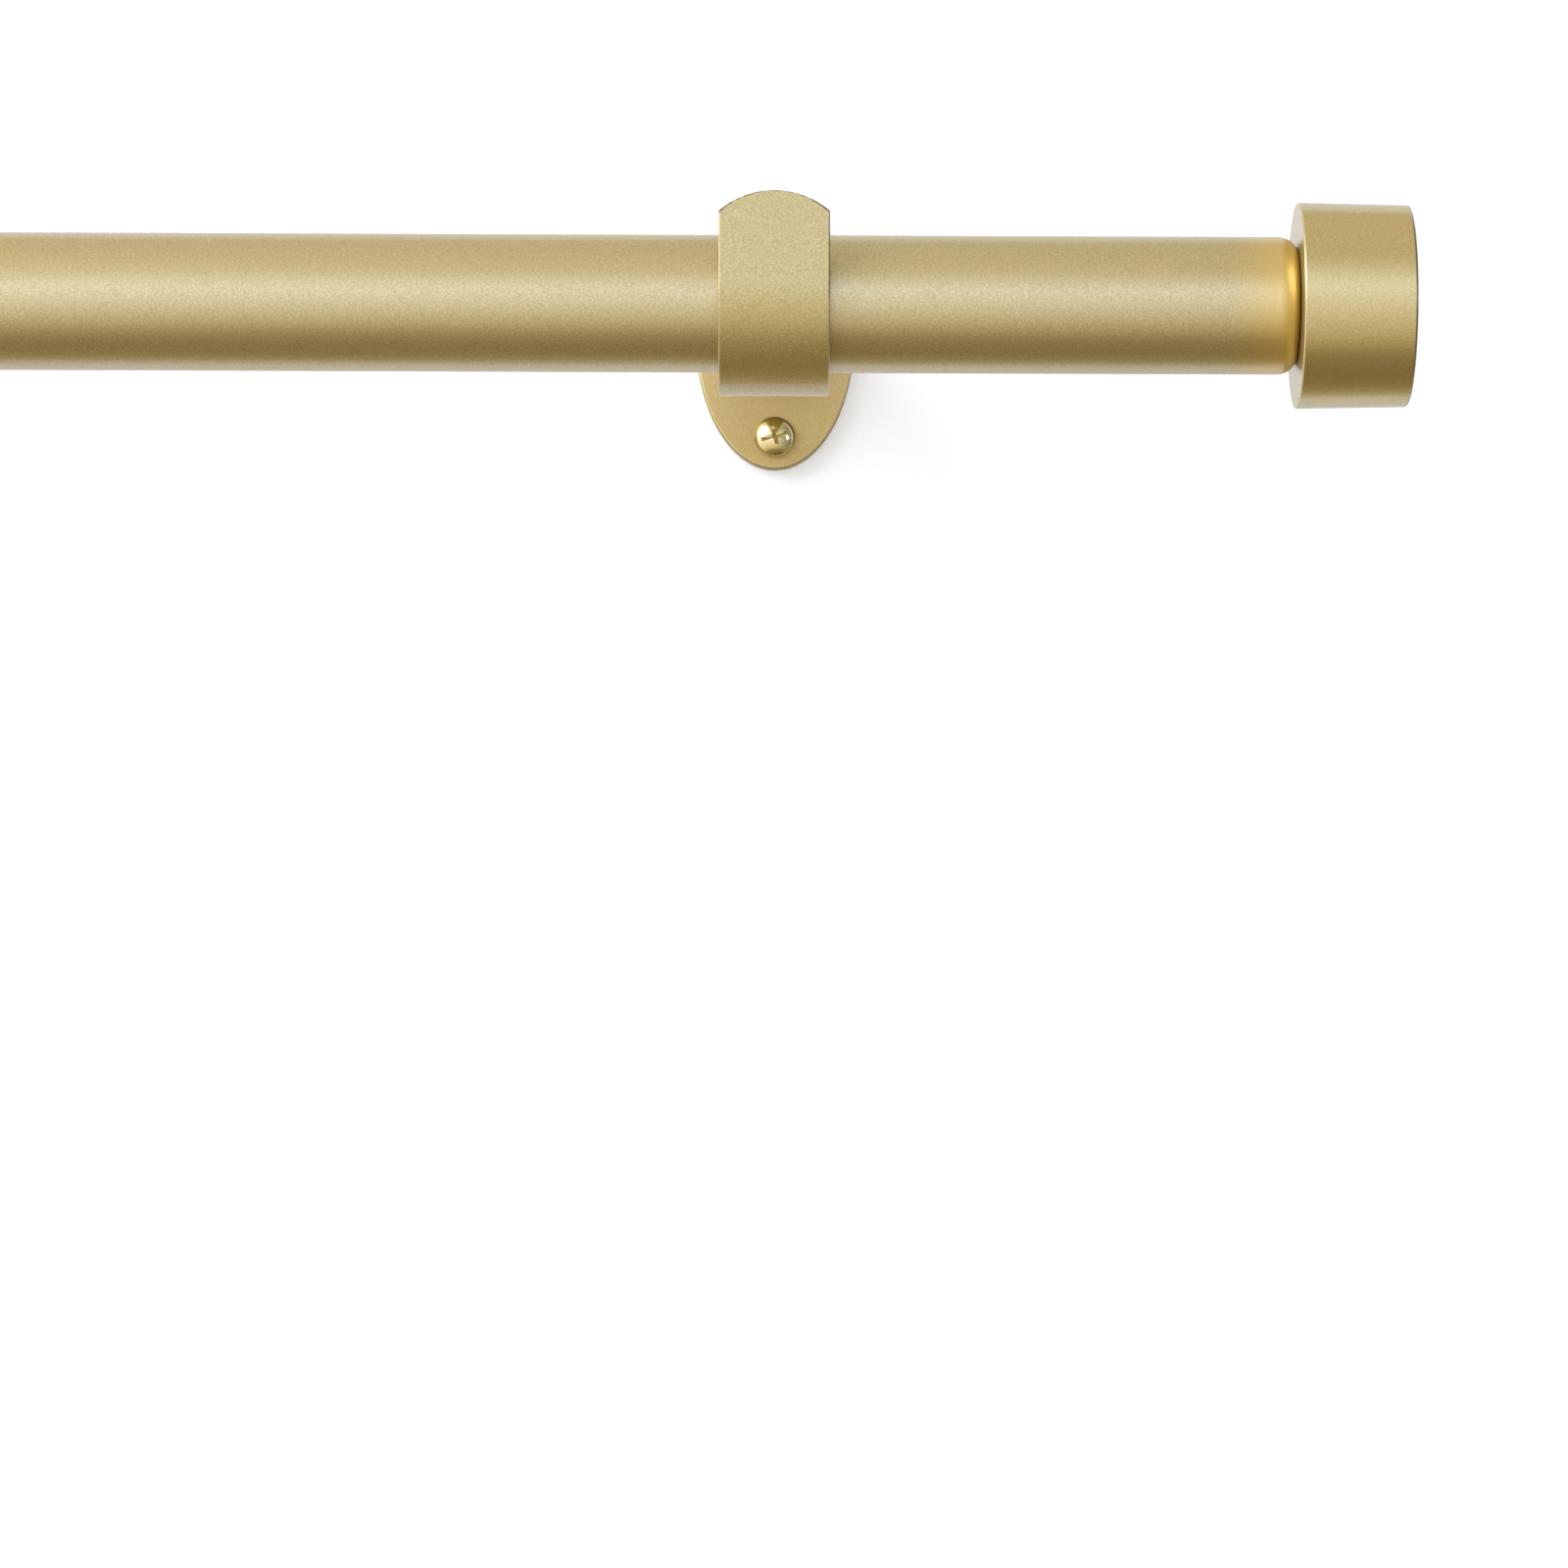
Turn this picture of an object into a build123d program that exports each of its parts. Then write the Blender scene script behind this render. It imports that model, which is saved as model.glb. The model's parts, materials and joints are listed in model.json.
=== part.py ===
from build123d import *
from math import cos, pi, radians, sin, sqrt
import os

# Curtain rod on two wall brackets, in millimetres.
# +X runs along the rod, +Y into the wall and +Z up.
# The origin is on the wall, midway between the two plates, at the height of the arms.

# Rod tubes
rod_diameter = 25.4
outer_wall = 0.9
inner_wall = 0.8
slide_clearance = 0.3  # radial room between the tubes
closed_length = 711.0  # tube end to tube end with the rod pushed together
inner_shows = 41.0  # inner tube left outside with the rod pushed together
inner_end_room = 50.0  # free length between the glide bush and the end insert
roll_radius = 4.0  # outside radius of the rolled tube ends
roll_angle = 58.0  # degrees that the tube ends are rolled in
cut_end_chamfer = 0.3  # on each tube's plain cut end

# Glide bush on the inner end of the inner tube
bush_flange = 3.0
bush_spigot = 10.0
bush_wall = 2.4
bush_clearance = 0.1  # radial room in the outer tube
press_clearance = 0.02  # radial room of a plug pressed into a tube

# End inserts and studs that carry the finials
insert_length = 18.0
stud_diameter = 6.0
stud_length = 26.0
stud_seat = 11.0  # depth of the stud in the cap
stud_chamfer = 0.6
thread_clearance = 0.05  # radial room round a threaded shank
stud_end_room = 0.5  # free depth past the stud's end in the cap

# Finial caps
finial_diameter = 38.0
finial_length = 20.65
finial_draft = 1.1  # degrees that the side leans in
finial_gap = 0.15  # between the cap and the rolled tube end
finial_back_chamfer = 0.25
finial_front_round = 0.6

# Bracket arms, bent from flat strip
bracket_inset = 96.2  # strip centre to the tube's end
strip_width = 20.3
strip_thickness = 2.8
strip_edge_radius = 0.3
tip_edge_radius = 0.2
arm_length = 66.4  # straight run from the plate's face
bend_radius = 18.9  # to the strip's centre line
bend_angle = 63.25
slope_run = 10.85  # straight run between the bend and the cradle
cradle_clearance = 2.6  # radial room round the rod in the cradle
upright_length = 17.2  # straight run from the cradle to the top of the tip
upright_lean = 3.0  # degrees that the upright leans out
tip_rise = 3.75  # height of the arched tip
seat_angle = 54.0  # where the rod bears on the cradle, in degrees forward of its lowest point
seat_gap = 0.05  # between the rod and the cradle where it bears
stake_flare = 0.5  # spread of the arm's staked end at the back of the plate

# Wall plates
plate_thickness = 2.8
plate_side_margin = 5.95  # metal each side of the arm
plate_end_margin = 6.4  # metal past the screw holes' centres
plate_edge_radius = 0.45
hole_spacing = 41.4
slot_clearance = 0.2  # round the arm's end in its slot

# Wall screws
screw_diameter = 4.2
screw_neck_diameter = 3.2  # free of thread, through the plate
screw_neck_runout = 0.4
screw_length = 32.0
screw_point = 7.0
screw_point_radius = 0.25
screw_clearance = 0.4  # radial room in the plate's holes
screw_head_diameter = 8.2
screw_head_height = 2.9
screw_head_side = 0.7  # straight side under the dome
screw_slot_width = 0.8
screw_slot_depth = 0.9
screw_slot_angle = 17.0
cross_width = 0.9
cross_span = 3.7
cross_depth = 1.8

# Thumbscrews
thumb_diameter = 4.4
thumb_shank = 16.9
thumb_tip_chamfer = 0.5
thumb_clearance = 0.08  # radial room in the strip's threaded hole
thumb_tip_gap = 0.3  # between the tip and the rod
thumb_head_diameter = 6.4
thumb_head_length = 3.0
thumb_head_chamfer = 0.4
thumb_rib_count = 18
thumb_groove_depth = 0.28

cut_margin = 1.0  # how far a cutting shape reaches past the metal

# Tube sizes that follow
rod_radius = rod_diameter / 2
rod_end = closed_length / 2
outer_bore_radius = rod_radius - outer_wall
inner_radius = outer_bore_radius - slide_clearance
inner_bore_radius = inner_radius - inner_wall
roll = radians(roll_angle)
roll_length = roll_radius * sin(roll)
roll_depth = roll_radius * (1 - cos(roll))
insert_back = rod_end - outer_wall * sin(roll) - insert_length
inner_tube_end = insert_back - inner_end_room - bush_flange

# Bracket sizes that follow, as distances out from the wall and up
plate_width = strip_width + 2 * plate_side_margin
plate_height = hole_spacing + 2 * plate_end_margin
bracket_places = {"left": bracket_inset - rod_end, "right": rod_end - bracket_inset}
slope = radians(bend_angle)
slope_heading = Vector(cos(slope), -sin(slope))
slope_normal = Vector(sin(slope), cos(slope))
bend_start = Vector(plate_thickness + arm_length, 0)
bend_finish = bend_start + Vector(bend_radius * sin(slope), bend_radius * (cos(slope) - 1))
cradle_radius = rod_radius + cradle_clearance + strip_thickness / 2
cradle_centre = bend_finish + slope_heading * slope_run + slope_normal * cradle_radius
seat = radians(seat_angle)
rod_centre = cradle_centre + Vector(sin(seat), -cos(seat)) * (cradle_clearance - seat_gap)

# The thumbscrew stands square on the middle of the slope, and its tip stops short of the rod
thumb_hole = bend_finish + slope_heading * (slope_run / 2)
thumb_to_rod = rod_centre - thumb_hole
thumb_offset = max(abs(thumb_to_rod.dot(slope_heading)) - thumb_diameter / 2, 0)
thumb_reach = thumb_to_rod.dot(slope_normal) - sqrt(rod_radius**2 - thumb_offset**2) - thumb_tip_gap

rod_axis = Axis((0, -rod_centre.X, rod_centre.Y), (1, 0, 0))
tube_plane = Plane(origin=rod_axis.position, x_dir=(1, 0, 0), z_dir=(0, -1, 0))
end_planes = {
    "left": Plane(origin=(-rod_end, -rod_centre.X, rod_centre.Y), x_dir=(-1, 0, 0), z_dir=(0, 1, 0)),
    "right": Plane(origin=(rod_end, -rod_centre.X, rod_centre.Y), x_dir=(1, 0, 0), z_dir=(0, -1, 0)),
}


def save(piece, name):
    piece.part.label = name
    export_step(piece.part, f"parts/{name}.step")


def tube(plane, length, radius, wall):
    # The plane's origin is at the rolled end, and its x axis points out of that end
    lip_radius = radius - roll_depth
    lip_inside = (-wall * sin(roll), lip_radius - wall * cos(roll))
    with BuildPart() as piece:
        with BuildSketch(plane):
            with BuildLine():
                outside = RadiusArc((-roll_length, radius), (0, lip_radius), roll_radius)
                inside = RadiusArc(lip_inside, (-roll_length, radius - wall), wall - roll_radius)
                Line(outside @ 1, inside @ 0)
                Polyline(
                    inside @ 1,
                    (-length, radius - wall),
                    (-length, radius - cut_end_chamfer),
                    (cut_end_chamfer - length, radius),
                    outside @ 0,
                )
            make_face()
        revolve(axis=rod_axis)
    return piece


def end_insert(plane, bore_radius, wall):
    # A plug trapped behind the rolled lip, with a thread for the stud
    plug_radius = bore_radius - press_clearance
    hole_radius = stud_diameter / 2 + thread_clearance
    front = -wall * sin(roll)
    front_radius = plug_radius + wall * (1 - cos(roll)) - roll_depth
    with BuildPart() as piece:
        with BuildSketch(plane):
            with BuildLine():
                Polyline(
                    (front, hole_radius),
                    (front, front_radius),
                    (-roll_length, plug_radius),
                    (front - insert_length, plug_radius),
                    (front - insert_length, hole_radius),
                    close=True,
                )
            make_face()
        revolve(axis=rod_axis)
    return piece


def finial_stud(plane):
    finish = finial_gap + stud_seat
    start = finish - stud_length
    radius = stud_diameter / 2
    with BuildPart() as piece:
        with BuildSketch(plane):
            with BuildLine():
                Polyline(
                    (start, 0),
                    (start, radius - stud_chamfer),
                    (start + stud_chamfer, radius),
                    (finish - stud_chamfer, radius),
                    (finish, radius - stud_chamfer),
                    (finish, 0),
                    close=True,
                )
            make_face()
        revolve(axis=rod_axis)
    return piece


def finial_cap(plane):
    # A drum with a flat back against the tube's end and a blind hole for the stud
    back = finial_gap
    front = back + finial_length
    back_radius = finial_diameter / 2
    front_radius = back_radius - finial_length * sin(radians(finial_draft))
    hole_radius = stud_diameter / 2 + thread_clearance
    hole_end = back + stud_seat + stud_end_room
    with BuildPart() as piece:
        with BuildSketch(plane):
            with BuildLine():
                Polyline(
                    (hole_end, 0),
                    (hole_end, hole_radius),
                    (back, hole_radius),
                    (back, back_radius),
                    (front, front_radius),
                    (front, 0),
                    close=True,
                )
            face = make_face()
            rim = face.vertices().group_by(Axis.Y)[-1]
            front_corner = face.vertices().group_by(Axis.Y)[-2]
            chamfer(rim, finial_back_chamfer)
            fillet(front_corner, finial_front_round)
        revolve(axis=rod_axis)
    return piece


def bracket_arm(place):
    side = Plane(origin=(place, 0, 0), x_dir=(0, -1, 0), z_dir=(-1, 0, 0))
    wall_side = Plane(origin=(place, 0, 0), x_dir=(1, 0, 0), z_dir=(0, -1, 0))
    with BuildPart() as piece:
        with BuildLine(side) as path:
            arm = Line((0, 0), (bend_start.X, bend_start.Y))
            bend = JernArc(arm @ 1, arm % 1, bend_radius, -bend_angle)
            run = PolarLine(bend @ 1, slope_run, -bend_angle)
            cradle = JernArc(run @ 1, run % 1, cradle_radius, bend_angle + 90 - upright_lean)
            upright = PolarLine(cradle @ 1, upright_length, 90 - upright_lean)
        with BuildSketch(wall_side):
            RectangleRounded(strip_width, strip_thickness, strip_edge_radius)
        sweep(path=path.line)
        # Arched tip
        half_width = strip_width / 2
        reach = half_width + cut_margin
        across = Vector(1, 0, 0)
        with BuildSketch(Plane(origin=upright @ 1, x_dir=across, z_dir=across.cross(upright % 1))):
            with BuildLine():
                arch = ThreePointArc((-half_width, -tip_rise), (0, 0), (half_width, -tip_rise))
                Polyline(
                    arch @ 1,
                    (reach, -tip_rise),
                    (reach, cut_margin),
                    (-reach, cut_margin),
                    (-reach, -tip_rise),
                    arch @ 0,
                )
            make_face()
        extrude(amount=strip_thickness, both=True, mode=Mode.SUBTRACT)
        tip_edges = piece.edges(Select.LAST).filter_by(GeomType.CIRCLE)
        fillet(tip_edges.filter_by(lambda edge: edge.length > half_width), tip_edge_radius)
        # Staked end, spread into the back of the plate
        with BuildSketch(wall_side):
            Rectangle(strip_width + 2 * stake_flare, strip_thickness + 2 * stake_flare)
        extrude(amount=stake_flare, taper=45)
        # Threaded hole for the thumbscrew
        with BuildSketch(thumb_plane(place)):
            Circle(thumb_diameter / 2 + thumb_clearance)
        extrude(amount=strip_thickness, both=True, mode=Mode.SUBTRACT)
    return piece


def thumb_plane(place):
    # On the middle of the slope, facing the rod
    return Plane(
        origin=(place, -thumb_hole.X, thumb_hole.Y),
        x_dir=(1, 0, 0),
        z_dir=(0, -slope_normal.X, slope_normal.Y),
    )


def wall_plate(place):
    face = Plane(origin=(place, 0, 0), x_dir=(1, 0, 0), z_dir=(0, -1, 0))
    slot_width = strip_width + 2 * slot_clearance
    slot_height = strip_thickness + 2 * slot_clearance
    with BuildPart() as piece:
        with BuildSketch(face):
            Ellipse(plate_width / 2, plate_height / 2)
        extrude(amount=plate_thickness)
        fillet(piece.edges().group_by(Axis.Y)[0], min(plate_edge_radius, plate_thickness / 2))
        with BuildSketch(face):
            Rectangle(slot_width, slot_height)
            with GridLocations(0, hole_spacing, 1, 2):
                Circle(screw_diameter / 2 + screw_clearance)
        extrude(amount=plate_thickness, mode=Mode.SUBTRACT)
        with BuildSketch(face):
            Rectangle(slot_width + 2 * stake_flare, slot_height + 2 * stake_flare)
        extrude(amount=stake_flare, taper=45, mode=Mode.SUBTRACT)
    return piece


def wall_screw(place, height):
    seat_point = Vector(place, -plate_thickness, height)
    head_radius = screw_head_diameter / 2
    neck_radius = screw_neck_diameter / 2
    shank_radius = screw_diameter / 2
    tilt = radians(screw_slot_angle)
    crown = Plane(
        origin=seat_point - Vector(0, screw_head_height, 0),
        x_dir=(cos(tilt), 0, sin(tilt)),
        z_dir=(0, -1, 0),
    )
    with BuildPart() as piece:
        with BuildSketch(Plane(origin=seat_point, x_dir=(0, 1, 0), z_dir=(1, 0, 0))):
            with BuildLine():
                dome = TangentArc((-screw_head_height, 0), (-screw_head_side, head_radius), tangent=(0, 1))
                Polyline(
                    dome @ 1,
                    (0, head_radius),
                    (0, neck_radius),
                    (plate_thickness - screw_neck_runout, neck_radius),
                    (plate_thickness, shank_radius),
                    (screw_length - screw_point, shank_radius),
                    (screw_length, screw_point_radius),
                    (screw_length, 0),
                    dome @ 0,
                )
            make_face()
        revolve(axis=Axis(seat_point, (0, 1, 0)))
        with BuildSketch(crown):
            Rectangle(screw_head_diameter, screw_slot_width)
        extrude(amount=-screw_slot_depth, mode=Mode.SUBTRACT)
        with BuildSketch(crown):
            Rectangle(cross_span, cross_width)
            Rectangle(cross_width, cross_span)
        extrude(amount=-cross_depth, mode=Mode.SUBTRACT)
    return piece


def thumbscrew(place):
    hole_plane = thumb_plane(place)
    tip = hole_plane.origin + hole_plane.z_dir * thumb_reach
    radius = thumb_diameter / 2
    head_radius = thumb_head_diameter / 2
    head_end = -thumb_shank - thumb_head_length
    groove_width = pi * head_radius / thumb_rib_count
    with BuildPart() as piece:
        with BuildSketch(Plane(origin=tip, x_dir=hole_plane.z_dir, z_dir=(1, 0, 0))):
            with BuildLine():
                Polyline(
                    (head_end, 0),
                    (head_end, head_radius - thumb_head_chamfer),
                    (head_end + thumb_head_chamfer, head_radius),
                    (-thumb_shank - thumb_head_chamfer, head_radius),
                    (-thumb_shank, head_radius - thumb_head_chamfer),
                    (-thumb_shank, radius),
                    (-thumb_tip_chamfer, radius),
                    (0, radius - thumb_tip_chamfer),
                    (0, 0),
                    close=True,
                )
            make_face()
        revolve(axis=Axis(tip, hole_plane.z_dir))
        # Grip ribs are what is left between the grooves
        with BuildSketch(Plane(origin=tip, x_dir=(1, 0, 0), z_dir=hole_plane.z_dir).offset(head_end)):
            with PolarLocations(head_radius, thumb_rib_count):
                Rectangle(2 * thumb_groove_depth, groove_width)
        extrude(amount=thumb_head_length, mode=Mode.SUBTRACT)
    return piece


os.makedirs("parts", exist_ok=True)

outer_length = closed_length - inner_shows
save(tube(end_planes["right"], outer_length, rod_radius, outer_wall), "outer_tube")

inner_length = rod_end + inner_tube_end
save(tube(end_planes["left"], inner_length, inner_radius, inner_wall), "inner_tube")

with BuildPart() as glide_bush:
    spigot_radius = inner_bore_radius - press_clearance
    with BuildSketch(tube_plane):
        with BuildLine():
            Polyline(
                (inner_tube_end - bush_spigot, spigot_radius),
                (inner_tube_end, spigot_radius),
                (inner_tube_end, outer_bore_radius - bush_clearance),
                (inner_tube_end + bush_flange, outer_bore_radius - bush_clearance),
                (inner_tube_end + bush_flange, spigot_radius - bush_wall),
                (inner_tube_end - bush_spigot, spigot_radius - bush_wall),
                close=True,
            )
        make_face()
    revolve(axis=rod_axis)
save(glide_bush, "glide_bush")

bores = {"left": (inner_bore_radius, inner_wall), "right": (outer_bore_radius, outer_wall)}
for hand, plane in end_planes.items():
    save(end_insert(plane, *bores[hand]), f"{hand}_end_insert")
    save(finial_stud(plane), f"{hand}_finial_stud")
    save(finial_cap(plane), f"{hand}_finial_cap")

for hand, place in bracket_places.items():
    save(bracket_arm(place), f"{hand}_bracket_arm")
    save(wall_plate(place), f"{hand}_wall_plate")
    save(thumbscrew(place), f"{hand}_thumbscrew")
    for level, height in (("upper", hole_spacing / 2), ("lower", -hole_spacing / 2)):
        save(wall_screw(place, height), f"{hand}_{level}_wall_screw")

print("rod axis", round(rod_centre.X, 3), "mm from the wall,", round(rod_centre.Y, 3), "mm above the arms' height")
print("tubes slide", round(inner_tube_end - rod_end + outer_length, 2), "mm apart before they part")
print("thumbscrew tip past the slope's centre", round(thumb_reach, 3))
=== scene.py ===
import json
import math

import bmesh
import bpy
from mathutils import Matrix, Vector


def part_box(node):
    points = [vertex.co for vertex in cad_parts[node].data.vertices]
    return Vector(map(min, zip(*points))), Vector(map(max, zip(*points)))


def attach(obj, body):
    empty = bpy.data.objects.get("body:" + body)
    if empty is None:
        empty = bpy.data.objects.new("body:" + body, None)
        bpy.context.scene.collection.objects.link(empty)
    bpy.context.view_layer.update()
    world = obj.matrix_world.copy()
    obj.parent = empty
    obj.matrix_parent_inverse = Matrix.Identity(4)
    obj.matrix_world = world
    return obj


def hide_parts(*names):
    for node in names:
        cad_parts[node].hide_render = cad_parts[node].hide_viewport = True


# Curtain rod on two strip brackets: finishes, threads, wall, light and camera.
# Lengths in the dictionaries are millimetres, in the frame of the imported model.

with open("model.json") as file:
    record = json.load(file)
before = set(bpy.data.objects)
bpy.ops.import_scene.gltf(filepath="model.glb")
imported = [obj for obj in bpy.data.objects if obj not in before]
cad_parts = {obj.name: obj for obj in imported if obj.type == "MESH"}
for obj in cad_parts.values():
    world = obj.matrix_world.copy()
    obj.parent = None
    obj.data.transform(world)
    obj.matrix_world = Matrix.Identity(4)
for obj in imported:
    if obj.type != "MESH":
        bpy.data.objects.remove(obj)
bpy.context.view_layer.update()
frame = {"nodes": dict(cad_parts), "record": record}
nodes = frame["nodes"]
behaviour = frame["record"]["behaviour"]
bodyOf = {node: body for body, members in behaviour["bodies"].items() for node in members}
slotOf = {part["node"]: part["material_slot"] for part in frame["record"]["subparts"]}
mm = 0.001


def boxInMm(node):
    return [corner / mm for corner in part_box(node)]


def linear(code):
    # sRGB hex to the linear colour that the sockets take
    channels = [int(code[i:i + 2], 16) / 255 for i in (0, 2, 4)]
    return (*[c / 12.92 if c <= 0.04045 else ((c + 0.055) / 1.055) ** 2.4 for c in channels], 1)


def addNode(tree, kind, inputs=None, **settings):
    # inputs: socket name or number to a value, to another node's output or to a list of outputs.
    # A colour Mix has its factor, A and B at 0, 6 and 7, a Map Range its From at 1, 2 and its To at 3, 4.
    node = tree.nodes.new(kind)
    for name, value in settings.items():
        setattr(node, name, value)
    for key, value in (inputs or {}).items():
        if isinstance(value, list):
            for source in value:
                tree.links.new(source, node.inputs[key])
        elif isinstance(value, bpy.types.NodeSocket):
            tree.links.new(value, node.inputs[key])
        else:
            node.inputs[key].default_value = value
    return node


def newMaterial(name):
    material = bpy.data.materials.new(name)
    material.use_nodes = True
    material.node_tree.nodes.clear()
    return material, material.node_tree


# Sprayed metallic gold lacquer under a thin satin clear coat.
# Fine flakes give a soft sparkle, the coat a pale sheen at the edges of the rounds.
goldLacquer = {
    "metallic": 0.8,
    "coat": 0.65,
    "flop": "A8A4A0",  # the flakes darken at a glancing angle
    "flake": 0.27,  # real flakes are near 0.04 mm, drawn coarser so that they show
    "flakeNoise": {"Detail": 1.5, "Roughness": 0.6},
    "colourSpan": (0.34, 0.66),  # part of the flake noise that runs from deep to bright
    "roughSpan": (0.3, 0.7),  # and from the rough to the smooth flakes
    "peel": 2.4,  # ripple of the sprayed coat
    "peelBump": 0.006,
}
# The tube has the strongest coat, the stamped brackets the most grain
lacquers = {
    "rodLacquer": {
        "bright": "CEBE89", "deep": "B2A26B", "roughness": (0.4, 0.48), "coatIor": 2.57,
        "coatRoughness": 0.27, "flakeBump": 0.03,
        # painted reflection: a richer, brighter gold on the rim where the cap's back reflects light onto it,
        # from where it starts to where it is full, measured from the tube's end
        "rim": "DDBF60", "rimReach": (13.5, 0.5),
    },
    "capLacquer": {
        "bright": "D0BE82", "deep": "BDA968", "roughness": (0.29, 0.35), "coatIor": 2.33,
        "coatRoughness": 0.21, "flakeBump": 0.013,
    },
    "bracketLacquer": {
        "bright": "CBBA84", "deep": "AF9F61", "roughness": (0.42, 0.5), "coatIor": 1.95,
        "coatRoughness": 0.18, "flakeBump": 0.043,
    },
    "plateLacquer": {
        "bright": "D8C184", "deep": "CCB476", "roughness": (0.44, 0.52), "coatIor": 1.8,
        "coatRoughness": 0.3, "flakeBump": 0.011,
    },
}

# Darker places: edges where the paint has pulled thin and brown steel shows (the upright's outer edge partly
# painted shade), and painted shade on the cut sides of the plates and at the foot of each wall screw's head.
wornAndShadedSizes = {
    "dash": 1.6,  # length of the breaks in a worn line
    "fade": 0.2,
    "capDraft": 0.4,  # by which the cap's radius is smaller at its front
    "stripHalf": 10.15,  # half the strip's width, which is less than at its spread back end
    "stripLean": 3.0,  # degrees that the upright leans out
    "tipRise": 3.75,  # height of the arched tip
    "tipDepth": 0.7,  # depth that counts as the front edge of the tip
    "plateBevel": 0.12,  # left bright, out of the painted shade, at both faces of a plate
}
capLow, capHigh = boxInMm("right_finial_cap")
capMiddle = (capLow + capHigh) / 2
armLow, armHigh = boxInMm("right_bracket_arm")
armMiddle = (armLow + armHigh) / 2
plateFace = boxInMm("right_wall_plate")[0].y
tubeEnd = boxInMm("outer_tube")[1].x
headLow, headHigh = boxInMm("right_upper_wall_screw")
headMiddle = (headLow + headHigh) / 2
tipRadius = (wornAndShadedSizes["stripHalf"]**2 + wornAndShadedSizes["tipRise"]**2) / (2 * wornAndShadedSizes["tipRise"])
stripFront = Matrix.Rotation(math.radians(wornAndShadedSizes["stripLean"]), 3, "X") @ Vector((0, -1, 0))
# Each is a band round its centre, width to both sides of radius, measured along the axes that across keeps.
# Where past is given, it shows only further than that along axis. The left half mirrors the right.
wearAndPaintedShade = {
    "capLacquer": [
        {"centre": (capHigh.x, capMiddle.y, capMiddle.z), "across": (0, 1, 1),
         "radius": capHigh.z - capMiddle.z - wornAndShadedSizes["capDraft"], "width": 0.65,
         "axis": (1, 0, 0), "past": -0.5, "dashes": (0.1, 0.3), "colour": "735934"},
    ],
    "bracketLacquer": [
        # a centre out in front of the tip, so that only the front edge of the arch is at this distance
        {"centre": (armMiddle.x, armLow.y - tipRadius, armHigh.z - tipRadius), "across": (1, 1, 1),
         "radius": math.sqrt(2) * tipRadius, "width": 0.2,
         "axis": (0, -1, 0), "past": -tipRadius - wornAndShadedSizes["tipDepth"], "dashes": (0.4, 0.5), "colour": "664E2A"},
        # the outer front edge of the upright: partly paint worn thin, partly painted shade on its rounded
        # edge
        {"centre": (0, armLow.y, armHigh.z), "across": (1, 0, 0),
         "radius": armMiddle.x + wornAndShadedSizes["stripHalf"], "width": 0.25,
         "axis": stripFront, "past": -0.35, "dashes": (0.25, 0.4), "colour": "7C6238"},
    ],
    "plateLacquer": [
        # painted shade: the whole side all round each plate darker, between its two faces
        {"centre": (0, plateFace / 2, 0), "across": (0, 1, 0),
         "radius": 0, "width": -plateFace / 2 - wornAndShadedSizes["plateBevel"], "colour": "8E7843"},
    ],
    # painted shade: a darker ring at the foot of each wall screw's head, where it meets the plate
    "plated_brass": [
        {"centre": (headMiddle.x, plateFace, height), "across": (1, 0, 1),
         "radius": headHigh.x - headMiddle.x, "width": 1.1,
         "axis": (0, 1, 0), "past": -1.4, "colour": "9C8A4C"}
        for height in (headMiddle.z, -headMiddle.z)
    ],
}


def darkened(tree, place, spots, colour):
    # mixes in each place's colour, with the left half folded onto the right
    apart = addNode(tree, "ShaderNodeSeparateXYZ", {0: place})
    side = addNode(tree, "ShaderNodeMath", {0: apart.outputs["X"]}, operation="ABSOLUTE")
    mirrored = addNode(tree, "ShaderNodeCombineXYZ",
                       {"X": side.outputs[0], "Y": apart.outputs["Y"], "Z": apart.outputs["Z"]})
    for spot in spots:
        offset = addNode(tree, "ShaderNodeVectorMath",
                         {0: mirrored.outputs[0], 1: Vector(spot["centre"]) * mm}, operation="SUBTRACT")
        flat = addNode(tree, "ShaderNodeVectorMath",
                       {0: offset.outputs[0], 1: spot["across"]}, operation="MULTIPLY")
        radius = addNode(tree, "ShaderNodeVectorMath", {0: flat.outputs[0]}, operation="LENGTH")
        mask = addNode(tree, "ShaderNodeMath",
                       {0: radius.outputs["Value"], 1: spot["radius"] * mm, 2: spot["width"] * mm},
                       operation="COMPARE")
        if "past" in spot:
            reach = addNode(tree, "ShaderNodeVectorMath",
                            {0: offset.outputs[0], 1: spot["axis"]}, operation="DOT_PRODUCT")
            past = addNode(tree, "ShaderNodeMapRange",
                           {"Value": reach.outputs["Value"], 1: spot["past"] * mm,
                            2: (spot["past"] + wornAndShadedSizes["fade"]) * mm})
            mask = addNode(tree, "ShaderNodeMath",
                           {0: mask.outputs[0], 1: past.outputs[0]}, operation="MULTIPLY")
        if "dashes" in spot:
            patch = addNode(tree, "ShaderNodeTexNoise",
                            {"Vector": place, "Scale": 1 / (wornAndShadedSizes["dash"] * mm), "Detail": 1.0})
            dash = addNode(tree, "ShaderNodeMapRange",
                           {"Value": patch.outputs["Fac"], 1: spot["dashes"][0], 2: spot["dashes"][1]})
            mask = addNode(tree, "ShaderNodeMath",
                           {0: mask.outputs[0], 1: dash.outputs[0]}, operation="MULTIPLY")
        colour = addNode(tree, "ShaderNodeMix",
                         {0: mask.outputs[0], 6: colour.outputs[2], 7: linear(spot["colour"])},
                         data_type="RGBA")
    return colour


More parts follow.
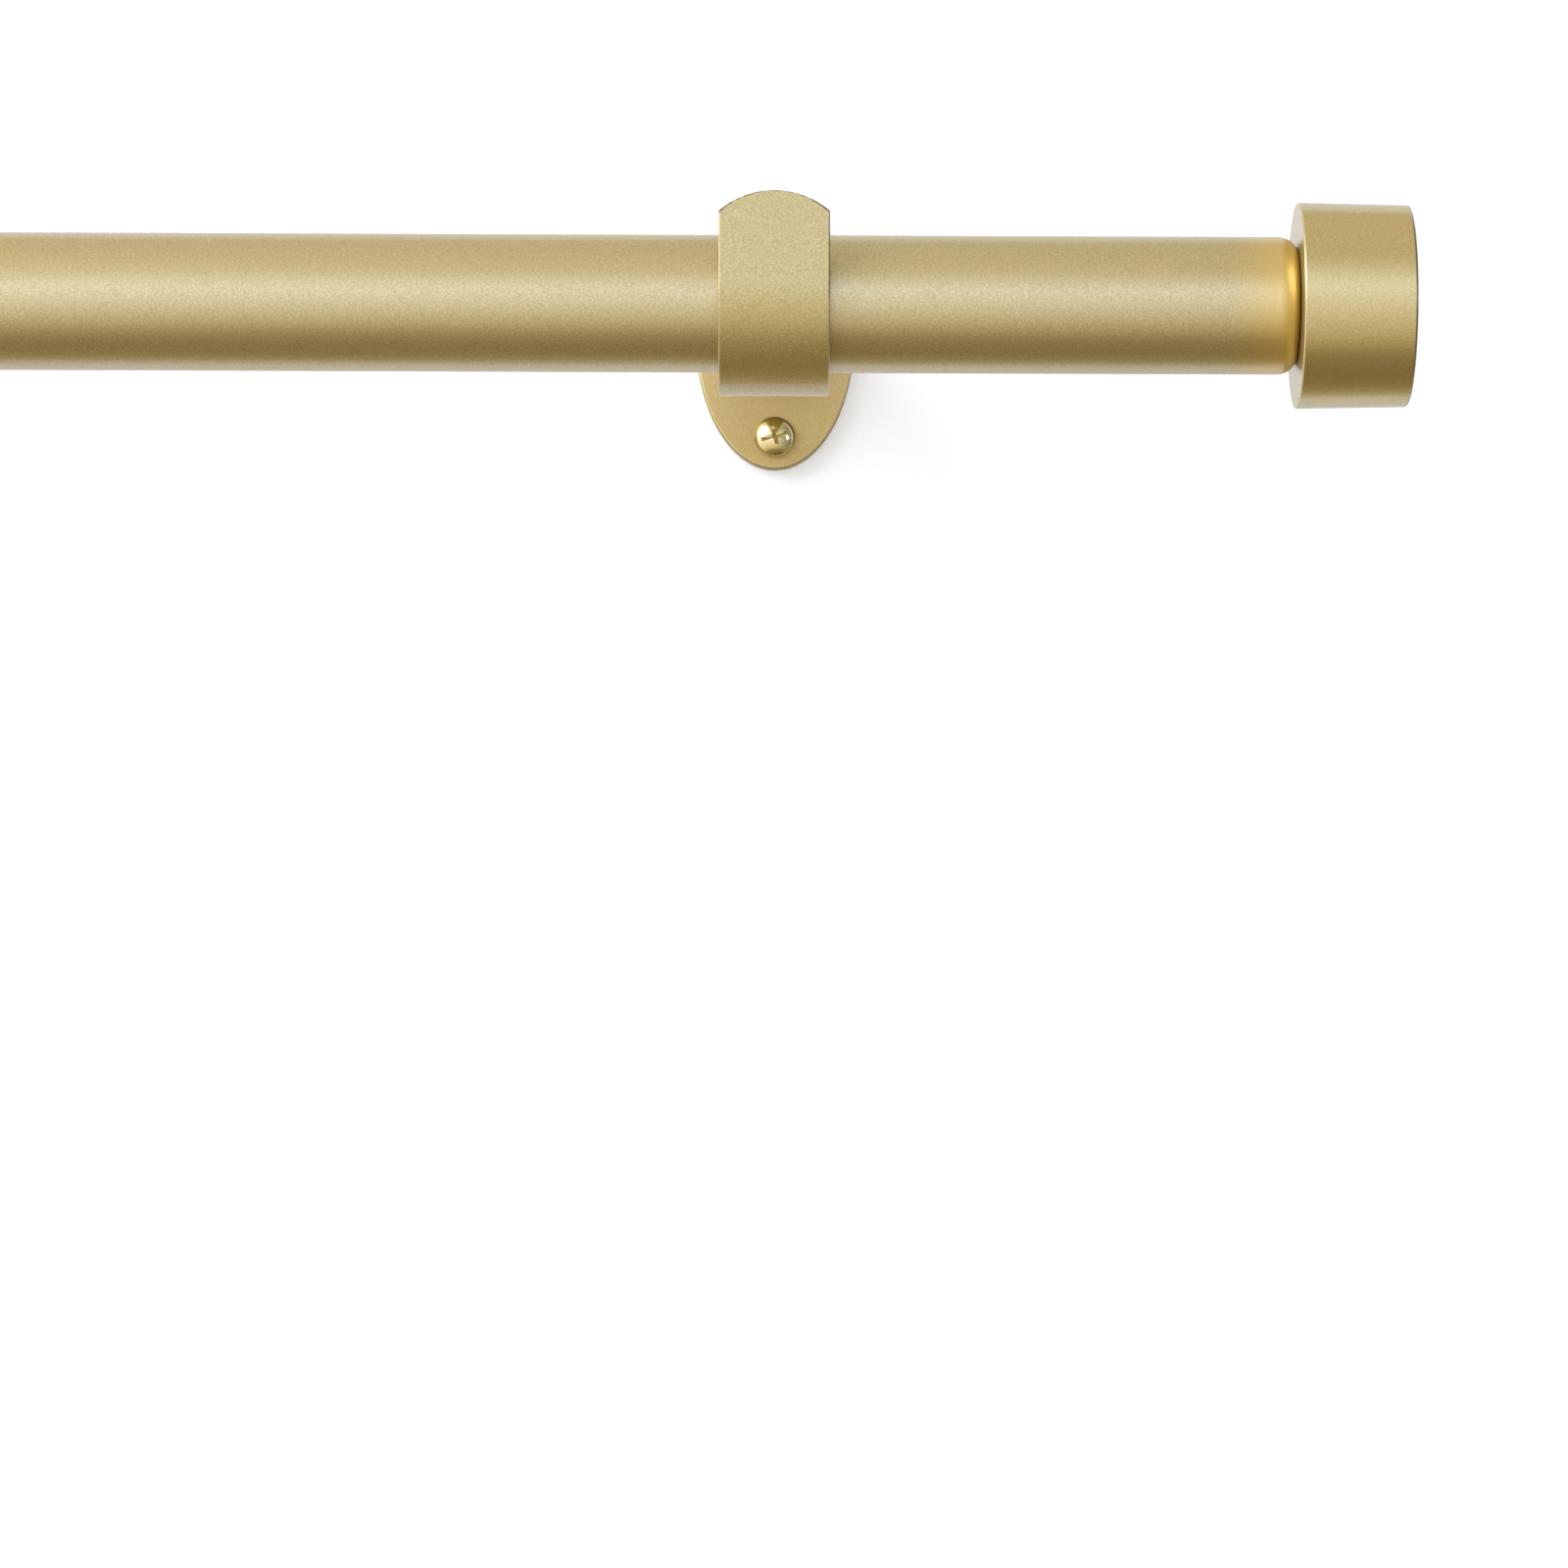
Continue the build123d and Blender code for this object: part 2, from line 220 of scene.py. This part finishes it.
def goldPaint(name):
    material, tree = newMaterial(name)
    look = {**goldLacquer, **lacquers[name]}
    place = addNode(tree, "ShaderNodeTexCoord").outputs["Object"]
    flake = addNode(tree, "ShaderNodeTexNoise",
                    {"Vector": place, "Scale": 1 / (look["flake"] * mm), **look["flakeNoise"]})
    lit = addNode(tree, "ShaderNodeMapRange",
                  {"Value": flake.outputs["Fac"], 1: look["colourSpan"][0], 2: look["colourSpan"][1]})
    colour = addNode(tree, "ShaderNodeMix",
                     {0: lit.outputs[0], 6: linear(look["deep"]), 7: linear(look["bright"])},
                     data_type="RGBA")
    if "rim" in look:
        # painted reflection: the rolled rim deeper and warmer in colour, for the light that the cap's back
        # reflects onto it
        start, full = [(tubeEnd - back) * mm for back in look["rimReach"]]
        along = addNode(tree, "ShaderNodeSeparateXYZ", {0: place})
        reach = addNode(tree, "ShaderNodeMath", {0: along.outputs["X"]}, operation="ABSOLUTE")
        atRim = addNode(tree, "ShaderNodeMapRange", {"Value": reach.outputs[0], 1: start, 2: full})
        colour = addNode(tree, "ShaderNodeMix",
                         {0: atRim.outputs[0], 6: colour.outputs[2], 7: linear(look["rim"])},
                         data_type="RGBA")
    # worn edges, with painted shade on the plates' sides and partly on the brackets' outer edges
    if name in wearAndPaintedShade:
        colour = darkened(tree, place, wearAndPaintedShade[name], colour)
    rough = addNode(tree, "ShaderNodeMapRange",
                    {"Value": flake.outputs["Fac"], 1: look["roughSpan"][0], 2: look["roughSpan"][1],
                     3: look["roughness"][1], 4: look["roughness"][0]})
    peel = addNode(tree, "ShaderNodeTexNoise",
                   {"Vector": place, "Scale": 1 / (look["peel"] * mm), "Detail": 1.0})
    ripple = addNode(tree, "ShaderNodeBump",
                     {"Height": peel.outputs["Fac"], "Strength": 1.0, "Distance": look["peelBump"] * mm})
    grain = addNode(tree, "ShaderNodeBump",
                    {"Height": flake.outputs["Fac"], "Normal": ripple.outputs[0], "Strength": 1.0,
                     "Distance": look["flakeBump"] * mm})
    surface = addNode(tree, "ShaderNodeBsdfPrincipled",
                      {"Base Color": colour.outputs[2], "Metallic": look["metallic"],
                       "Roughness": rough.outputs[0], "Specular Tint": linear(look["flop"]),
                       "Coat Weight": look["coat"], "Coat Roughness": look["coatRoughness"],
                       "Coat IOR": look["coatIor"], "Normal": grain.outputs[0]})
    addNode(tree, "ShaderNodeOutputMaterial", {"Surface": surface.outputs[0]})
    return material


# Bright brass plating on small steel hardware: mirror-like, with faint tool marks and a deep yellow body.
brassPlate = {"bright": "F2EAC0", "deep": "DBCD90", "roughness": (0.1, 0.22), "roughSpan": (0.3, 0.7),
              "mark": 0.5, "markBump": 0.004}


def brassFinish():
    material, tree = newMaterial("brightBrassPlate")
    look = brassPlate
    place = addNode(tree, "ShaderNodeTexCoord").outputs["Object"]
    mark = addNode(tree, "ShaderNodeTexNoise",
                   {"Vector": place, "Scale": 1 / (look["mark"] * mm), "Detail": 2.0})
    colour = addNode(tree, "ShaderNodeMix",
                     {0: mark.outputs["Fac"], 6: linear(look["deep"]), 7: linear(look["bright"])},
                     data_type="RGBA")
    # painted shade at the foot of each wall screw's head
    colour = darkened(tree, place, wearAndPaintedShade["plated_brass"], colour)
    rough = addNode(tree, "ShaderNodeMapRange",
                    {"Value": mark.outputs["Fac"], 1: look["roughSpan"][0], 2: look["roughSpan"][1],
                     3: look["roughness"][0], 4: look["roughness"][1]})
    bump = addNode(tree, "ShaderNodeBump",
                   {"Height": mark.outputs["Fac"], "Strength": 1.0, "Distance": look["markBump"] * mm})
    surface = addNode(tree, "ShaderNodeBsdfPrincipled",
                      {"Base Color": colour.outputs[2], "Metallic": 1.0, "Roughness": rough.outputs[0],
                       "Normal": bump.outputs[0]})
    addNode(tree, "ShaderNodeOutputMaterial", {"Surface": surface.outputs[0]})
    return material


# Natural injection-moulded nylon: milky off-white, waxy, with a faint flow mottle.
nylon = {"pale": "EAE5D8", "shade": "DDD6C4", "roughness": 0.42, "ior": 1.53, "mottle": 3.0,
         "grain": 0.25, "grainBump": 0.01, "milk": 0.15, "milkDepth": 1.0, "milkTint": (1.0, 0.9, 0.7)}


def nylonFinish():
    material, tree = newMaterial("naturalNylon")
    look = nylon
    place = addNode(tree, "ShaderNodeTexCoord").outputs["Object"]
    mottle = addNode(tree, "ShaderNodeTexNoise", {"Vector": place, "Scale": 1 / (look["mottle"] * mm)})
    grain = addNode(tree, "ShaderNodeTexNoise", {"Vector": place, "Scale": 1 / (look["grain"] * mm)})
    colour = addNode(tree, "ShaderNodeMix",
                     {0: mottle.outputs["Fac"], 6: linear(look["shade"]), 7: linear(look["pale"])},
                     data_type="RGBA")
    bump = addNode(tree, "ShaderNodeBump",
                   {"Height": grain.outputs["Fac"], "Strength": 1.0, "Distance": look["grainBump"] * mm})
    surface = addNode(tree, "ShaderNodeBsdfPrincipled",
                      {"Base Color": colour.outputs[2], "Roughness": look["roughness"], "IOR": look["ior"],
                       "Subsurface Weight": look["milk"], "Subsurface Radius": look["milkTint"],
                       "Subsurface Scale": look["milkDepth"] * mm, "Normal": bump.outputs[0]})
    addNode(tree, "ShaderNodeOutputMaterial", {"Surface": surface.outputs[0]})
    return material


# Zinc-plated steel: cool grey with small crystal patches of differing sheen.
zinc = {"bright": "C3C6CA", "deep": "A9ACB1", "roughness": (0.28, 0.4), "spangle": 1.2}


def zincFinish():
    material, tree = newMaterial("zincPlatedSteel")
    look = zinc
    place = addNode(tree, "ShaderNodeTexCoord").outputs["Object"]
    spangle = addNode(tree, "ShaderNodeTexVoronoi", {"Vector": place, "Scale": 1 / (look["spangle"] * mm)})
    colour = addNode(tree, "ShaderNodeMix",
                     {0: spangle.outputs["Color"], 6: linear(look["deep"]), 7: linear(look["bright"])},
                     data_type="RGBA")
    rough = addNode(tree, "ShaderNodeMapRange",
                    {"Value": spangle.outputs["Color"], 3: look["roughness"][0], 4: look["roughness"][1]})
    surface = addNode(tree, "ShaderNodeBsdfPrincipled",
                      {"Base Color": colour.outputs[2], "Metallic": 1.0, "Roughness": rough.outputs[0]})
    addNode(tree, "ShaderNodeOutputMaterial", {"Surface": surface.outputs[0]})
    return material


goldKinds = {"tube": "rodLacquer", "cap": "capLacquer", "arm": "bracketLacquer", "plate": "plateLacquer"}
finishes = {
    **{name: goldPaint(name) for name in lacquers},
    "plated_brass": brassFinish(),
    "nylon": nylonFinish(),
    "zinc_steel": zincFinish(),
}
for node, slot in slotOf.items():
    kind = goldKinds[node.split("_")[-1]] if slot == "satin_gold" else slot
    coats = nodes[node].data.materials
    coats.clear()
    coats.append(finishes[kind])
print("finishes:", ", ".join(sorted(finishes)))

# Rolled threads on the screws and studs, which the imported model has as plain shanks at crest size.
# Each ridge follows a helix around a round core, and the point narrows both.
threads = {
    "wall_screw": {
        "Length": 32.0, "Sunk": 0.6, "Plain": 2.6, "Pitch": 1.85, "Root radius": 1.6, "Crest radius": 2.1,
        "Root width": 0.95, "Crest width": 0.1, "Point": 7.0, "Point scale": 0.12,
    },
    "thumbscrew": {
        "Length": 16.9, "Sunk": 0.6, "Plain": 0.1, "Pitch": 1.06, "Root radius": 1.62, "Crest radius": 2.2,
        "Root width": 0.74, "Crest width": 0.1, "Point": 0.5, "Point scale": 0.77,
    },
    "finial_stud": {
        "Length": 13.0, "Sunk": 0.6, "Plain": 0.5, "Pitch": 1.0, "Root radius": 2.45, "Crest radius": 3.0,
        "Root width": 0.85, "Crest width": 0.14, "Point": 0.6, "Point scale": 0.8,
    },
}
threadMesh = {
    "around": 28,
    "coreSteps": 80,
    "runoutTurns": 0.6,
    "runoutScale": 0.05,
    "sharpAngle": 32,
    "merge": 0.001,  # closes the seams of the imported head
    "seatMargin": 0.01,
}


def threadTree():
    tree = bpy.data.node_groups.new("threadedShank", "GeometryNodeTree")
    for name in threads["thumbscrew"]:
        tree.interface.new_socket(name, in_out="INPUT", socket_type="NodeSocketFloat")
    tree.interface.new_socket("Finish", in_out="INPUT", socket_type="NodeSocketMaterial")
    tree.interface.new_socket("Shank", in_out="OUTPUT", socket_type="NodeSocketGeometry")
    size = addNode(tree, "NodeGroupInput").outputs
    around = threadMesh["around"]
    # core: a round section along the axis, sunk into the head
    sunk = addNode(tree, "ShaderNodeMath", {0: 0.0, 1: size["Sunk"]}, operation="SUBTRACT")
    foot = addNode(tree, "ShaderNodeCombineXYZ", {"Z": sunk.outputs[0]})
    tip = addNode(tree, "ShaderNodeCombineXYZ", {"Z": size["Length"]})
    axis = addNode(tree, "GeometryNodeCurvePrimitiveLine", {"Start": foot.outputs[0], "End": tip.outputs[0]})
    steps = addNode(tree, "GeometryNodeResampleCurve",
                    {"Curve": axis.outputs[0], "Count": threadMesh["coreSteps"]})
    section = addNode(tree, "GeometryNodeCurvePrimitiveCircle",
                      {"Radius": size["Root radius"], "Resolution": around})
    core = addNode(tree, "GeometryNodeCurveToMesh",
                   {"Curve": steps.outputs[0], "Profile Curve": section.outputs[0], "Fill Caps": True})
    # ridge: a right-hand helix on the core, with its section standing outwards
    run = addNode(tree, "ShaderNodeMath", {0: size["Length"], 1: size["Plain"]}, operation="SUBTRACT")
    turns = addNode(tree, "ShaderNodeMath", {0: run.outputs[0], 1: size["Pitch"]}, operation="DIVIDE")
    helix = addNode(tree, "GeometryNodeCurveSpiral",
                    {"Resolution": around, "Rotations": turns.outputs[0], "Start Radius": size["Root radius"],
                     "End Radius": size["Root radius"], "Height": run.outputs[0], "Reverse": True})
    upright = addNode(tree, "GeometryNodeSetCurveNormal", {"Curve": helix.outputs[0]}, mode="Z_UP")
    depth = addNode(tree, "ShaderNodeMath",
                    {0: size["Crest radius"], 1: size["Root radius"]}, operation="SUBTRACT")
    ridge = addNode(tree, "GeometryNodeCurvePrimitiveQuadrilateral",
                    {"Bottom Width": size["Root width"], "Top Width": size["Crest width"], "Offset": 0.0,
                     "Height": depth.outputs[0]}, mode="TRAPEZOID")
    half = addNode(tree, "ShaderNodeMath", {0: depth.outputs[0], 1: 0.5}, operation="MULTIPLY")
    outside = addNode(tree, "ShaderNodeCombineXYZ", {"X": half.outputs[0]})
    profile = addNode(tree, "GeometryNodeTransform",
                      {"Geometry": ridge.outputs[0], "Translation": outside.outputs[0],
                       "Rotation": (0, 0, math.radians(-90))})
    # the ridge runs out into the core at both ends
    along = addNode(tree, "GeometryNodeSplineParameter")
    toEnd = addNode(tree, "ShaderNodeMath", {0: along.outputs["Factor"], 1: 0.5}, operation="PINGPONG")
    turnsToEnd = addNode(tree, "ShaderNodeMath",
                         {0: toEnd.outputs[0], 1: turns.outputs[0]}, operation="MULTIPLY")
    runout = addNode(tree, "ShaderNodeMapRange",
                     {"Value": turnsToEnd.outputs[0], 1: 0.0, 2: threadMesh["runoutTurns"],
                      3: threadMesh["runoutScale"], 4: 1.0})
    thread = addNode(tree, "GeometryNodeCurveToMesh",
                     {"Curve": upright.outputs[0], "Profile Curve": profile.outputs[0],
                      "Scale": runout.outputs[0], "Fill Caps": True})
    lift = addNode(tree, "ShaderNodeCombineXYZ", {"Z": size["Plain"]})
    lifted = addNode(tree, "GeometryNodeTransform",
                     {"Geometry": thread.outputs[0], "Translation": lift.outputs[0]})
    joined = addNode(tree, "GeometryNodeJoinGeometry", {"Geometry": [core.outputs[0], lifted.outputs[0]]})
    # point: both narrow towards the tip
    place = addNode(tree, "GeometryNodeInputPosition")
    height = addNode(tree, "ShaderNodeSeparateXYZ", {0: place.outputs[0]})
    shoulder = addNode(tree, "ShaderNodeMath", {0: size["Length"], 1: size["Point"]}, operation="SUBTRACT")
    narrow = addNode(tree, "ShaderNodeMapRange",
                     {"Value": height.outputs["Z"], 1: shoulder.outputs[0], 2: size["Length"], 3: 1.0,
                      4: size["Point scale"]})
    scale = addNode(tree, "ShaderNodeCombineXYZ", {"X": narrow.outputs[0], "Y": narrow.outputs[0], "Z": 1.0})
    moved = addNode(tree, "ShaderNodeVectorMath",
                    {0: place.outputs[0], 1: scale.outputs[0]}, operation="MULTIPLY")
    pointed = addNode(tree, "GeometryNodeSetPosition",
                      {"Geometry": joined.outputs[0], "Position": moved.outputs[0]})
    real = addNode(tree, "GeometryNodeRealizeInstances", {"Geometry": pointed.outputs[0]})
    finished = addNode(tree, "GeometryNodeSetMaterial",
                       {"Geometry": real.outputs[0], "Material": size["Finish"]})
    addNode(tree, "NodeGroupOutput", {"Shank": finished.outputs[0]})
    return tree


def growMesh(tree, values):
    # the inputs are set before the first evaluation, and only a plain mesh is kept
    carrier = bpy.data.objects.new("carrier", bpy.data.meshes.new("carrier"))
    bpy.context.scene.collection.objects.link(carrier)
    modifier = carrier.modifiers.new("nodes", "NODES")
    modifier.node_group = tree
    for item in tree.interface.items_tree:
        if item.in_out == "INPUT":
            modifier[item.identifier] = values[item.name]
    grown = carrier.evaluated_get(bpy.context.evaluated_depsgraph_get())
    mesh = bpy.data.meshes.new_from_object(grown)
    carrier.modifiers.remove(modifier)
    bpy.data.objects.remove(carrier)
    return mesh


def addHead(form, cad, toward, seat):
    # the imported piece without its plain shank, closed at the seat
    form.from_mesh(cad.data)
    bmesh.ops.remove_doubles(form, verts=form.verts, dist=threadMesh["merge"] * mm)
    margin = threadMesh["seatMargin"] * mm
    shank = [v for v in form.verts if toward.dot(v.co - seat) > margin]
    bmesh.ops.delete(form, geom=shank, context="VERTS")
    bmesh.ops.holes_fill(form, edges=[e for e in form.edges if e.is_boundary])
    bmesh.ops.recalc_face_normals(form, faces=form.faces)


def threadedPiece(node, tree, look, tips):
    # A screw has one tip and keeps its head. A stud has two and grows both ways from its middle.
    cad = nodes[node]
    finish = cad.data.materials[0]
    low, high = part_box(node)
    middle = (low + high) / 2
    form = bmesh.new()
    for toward in tips:
        reach = max(toward.dot(v.co) for v in cad.data.vertices)
        seat = middle + toward * (reach - look["Length"] * mm - toward.dot(middle))
        if len(tips) == 1:
            addHead(form, cad, toward, seat)
        grown = growMesh(tree, {**look, "Finish": finish})
        turn = toward.to_track_quat("Z", "Y").to_matrix().to_4x4()
        grown.transform(Matrix.Translation(seat) @ turn @ Matrix.Scale(mm, 4))
        form.from_mesh(grown)
        bpy.data.meshes.remove(grown)
    mesh = bpy.data.meshes.new(node + "_threaded")
    form.to_mesh(mesh)
    form.free()
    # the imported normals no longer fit
    if "custom_normal" in mesh.attributes:
        mesh.attributes.remove(mesh.attributes["custom_normal"])
    mesh.shade_smooth()
    mesh.set_sharp_from_angle(angle=math.radians(threadMesh["sharpAngle"]))
    mesh.materials.append(finish)
    piece = bpy.data.objects.new(node + "_threaded", mesh)
    bpy.context.scene.collection.objects.link(piece)
    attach(piece, bodyOf[node])
    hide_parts(node)
    return len(mesh.polygons)


def buildThreads():
    tree = threadTree()
    backOff = {joint["child"]: Vector(joint["axis"]) for joint in behaviour["joints"]}
    count = 0
    for node in nodes:
        kind = next((name for name in threads if node.endswith(name)), None)
        if kind == "wall_screw":
            tips = [Vector((0, 1, 0))]
        elif kind == "thumbscrew":
            tips = [-backOff[node].normalized()]
        elif kind == "finial_stud":
            tips = [Vector((1, 0, 0)), Vector((-1, 0, 0))]
        else:
            continue
        count += threadedPiece(node, tree, threads[kind], tips)
    print("threads grown:", count, "faces")


buildThreads()

# Matte white wall behind the plates: it takes the soft shadow, and the metal reflects it.
# Lift is the white that only the camera and reflections see. From behind, the wall is clear.
wall = {"paint": "E6EAF3", "half": 1300, "bottom": -150, "top": 190, "gap": 0.05, "lift": 0.29}
# The rest of what the camera sees from any side: the same paint on a floor and on walls all round
backdrop = {"half": 9000, "floor": -800, "ceiling": 9000, "lift": 0.7}


def wallPaint(name, strength):
    material, tree = newMaterial(name)
    seen = addNode(tree, "ShaderNodeLightPath")
    eyeOrGloss = addNode(tree, "ShaderNodeMath",
                         {0: seen.outputs["Is Camera Ray"], 1: seen.outputs["Is Glossy Ray"]},
                         operation="MAXIMUM")
    anySeen = addNode(tree, "ShaderNodeMath",
                      {0: eyeOrGloss.outputs[0], 1: seen.outputs["Is Transmission Ray"]},
                      operation="MAXIMUM")
    lift = addNode(tree, "ShaderNodeMath", {0: anySeen.outputs[0], 1: strength}, operation="MULTIPLY")
    paint = addNode(tree, "ShaderNodeBsdfDiffuse", {"Color": linear(wall["paint"])})
    glow = addNode(tree, "ShaderNodeEmission", {"Strength": lift.outputs[0]})
    front = addNode(tree, "ShaderNodeAddShader", {0: paint.outputs[0], 1: glow.outputs[0]})
    side = addNode(tree, "ShaderNodeNewGeometry")
    clear = addNode(tree, "ShaderNodeBsdfTransparent")
    surface = addNode(tree, "ShaderNodeMixShader",
                      {0: side.outputs["Backfacing"], 1: front.outputs[0], 2: clear.outputs[0]})
    addNode(tree, "ShaderNodeOutputMaterial", {"Surface": surface.outputs[0]})
    return material


def stagePanel(name, corners, faces, material):
    mesh = bpy.data.meshes.new(name)
    mesh.from_pydata([Vector(corner) * mm for corner in corners], [], faces)
    mesh.materials.append(material)
    panel = bpy.data.objects.new(name, mesh)
    bpy.context.scene.collection.objects.link(panel)
    return panel


def buildStage():
    half, bottom, top, back = [wall[key] for key in ("half", "bottom", "top", "gap")]
    corners = [(-half, back, bottom), (half, back, bottom), (half, back, top), (-half, back, top)]
    stagePanel("wall", corners, [(0, 1, 2, 3)], wallPaint("matteWallPaint", wall["lift"]))
    half, floor, ceiling = [backdrop[key] for key in ("half", "floor", "ceiling")]
    corners = [(x, y, z) for x in (-half, half) for y in (-half, half) for z in (floor, ceiling)]
    inward = [(0, 4, 6, 2), (2, 6, 7, 3), (0, 2, 3, 1), (6, 4, 5, 7), (4, 0, 1, 5), (1, 3, 7, 5)]
    surround = stagePanel("backdrop", corners, inward, wallPaint("matteRoomPaint", backdrop["lift"]))
    # the room's own light and the metal's reflections pass it by
    surround.visible_glossy = False
    surround.visible_diffuse = False
    surround.visible_shadow = False


buildStage()

# Two softboxes, left above and right level, and a pale room that darkens towards the floor.
softboxes = {
    "leftSoftbox": {"aim": (-0.80, -0.36, 0.48), "distance": 3000, "size": 2400, "power": 64},
    "rightSoftbox": {"aim": (0.90, -0.43, 0.05), "distance": 3000, "size": 800, "power": 5},
}
lightTarget = Vector((260, -100, -10)) * mm
# Light of the room by the sine of the height: a timber floor, pale walls and a cream ceiling
room = {
    -1.0: (0.24, 0.16, 0.07),
    -0.9: (0.32, 0.23, 0.12),
    -0.7: (0.84, 0.73, 0.5),
    -0.4: (1.08, 1.0, 0.86),
    0.0: (1.32, 1.35, 1.4),
    0.2: (1.55, 1.66, 1.95),
    0.45: (1.12, 1.12, 1.1),
    0.7: (0.76, 0.69, 0.53),
    1.0: (0.83, 0.72, 0.57),
}
rightDimming = 0.18  # share of that light which is left straight to the right


def buildLights():
    for name, box in softboxes.items():
        lamp = bpy.data.lights.new(name, "AREA")
        lamp.shape = "DISK"
        lamp.size = box["size"] * mm
        lamp.energy = box["power"]
        light = bpy.data.objects.new(name, lamp)
        toward = Vector(box["aim"]).normalized()
        light.location = lightTarget + toward * box["distance"] * mm
        light.rotation_euler = toward.to_track_quat("Z", "Y").to_euler()
        bpy.context.scene.collection.objects.link(light)


def buildRoom():
    world = bpy.data.worlds.new("studioRoom")
    world.use_nodes = True
    tree = world.node_tree
    tree.nodes.clear()
    heading = addNode(tree, "ShaderNodeTexCoord")
    toward = addNode(tree, "ShaderNodeSeparateXYZ", {0: heading.outputs["Generated"]})
    place = addNode(tree, "ShaderNodeMapRange", {"Value": toward.outputs["Z"], 1: -1.0, 2: 1.0})
    level = addNode(tree, "ShaderNodeValToRGB", {0: place.outputs[0]})
    ramp = level.color_ramp
    while len(ramp.elements) < len(room):
        ramp.elements.new(0.5)
    for stop, (sine, light) in zip(ramp.elements, sorted(room.items())):
        stop.position = (sine + 1) / 2
        stop.color = (*light, 1)
    dimming = addNode(tree, "ShaderNodeMapRange", {"Value": toward.outputs["X"], 3: 1.0, 4: rightDimming})
    sky = addNode(tree, "ShaderNodeBackground", {"Color": level.outputs[0], "Strength": dimming.outputs[0]})
    addNode(tree, "ShaderNodeOutputWorld", {"Surface": sky.outputs[0]})
    bpy.context.scene.world = world


buildLights()
buildRoom()
print("stage: wall, backdrop,", len(softboxes), "softboxes and the room")

# Camera from below and square to the wall, level with the right bracket.
view = {
    "place": (261.44, -1122.53, -215.85),
    "pitch": 6.333,
    "roll": 0.215,
    "focalPixels": 5694.3,
    "imagePixels": 1600,
    "sensor": 36,
    "nearest": 10,
    "farthest": 50000,
}


def buildCamera():
    data = bpy.data.cameras.new("camera")
    data.sensor_width = view["sensor"]
    data.lens = view["focalPixels"] / view["imagePixels"] * view["sensor"]
    data.clip_start = view["nearest"] * mm
    data.clip_end = view["farthest"] * mm
    camera = bpy.data.objects.new("camera", data)
    pitch = Matrix.Rotation(math.radians(90 + view["pitch"]), 4, "X")
    roll = Matrix.Rotation(math.radians(view["roll"]), 4, "Z")
    camera.matrix_world = Matrix.Translation(Vector(view["place"]) * mm) @ pitch @ roll
    bpy.context.scene.collection.objects.link(camera)
    bpy.context.scene.camera = camera
    print("camera: lens", round(data.lens), "mm")


buildCamera()
bpy.context.scene.view_settings.view_transform = "Standard"
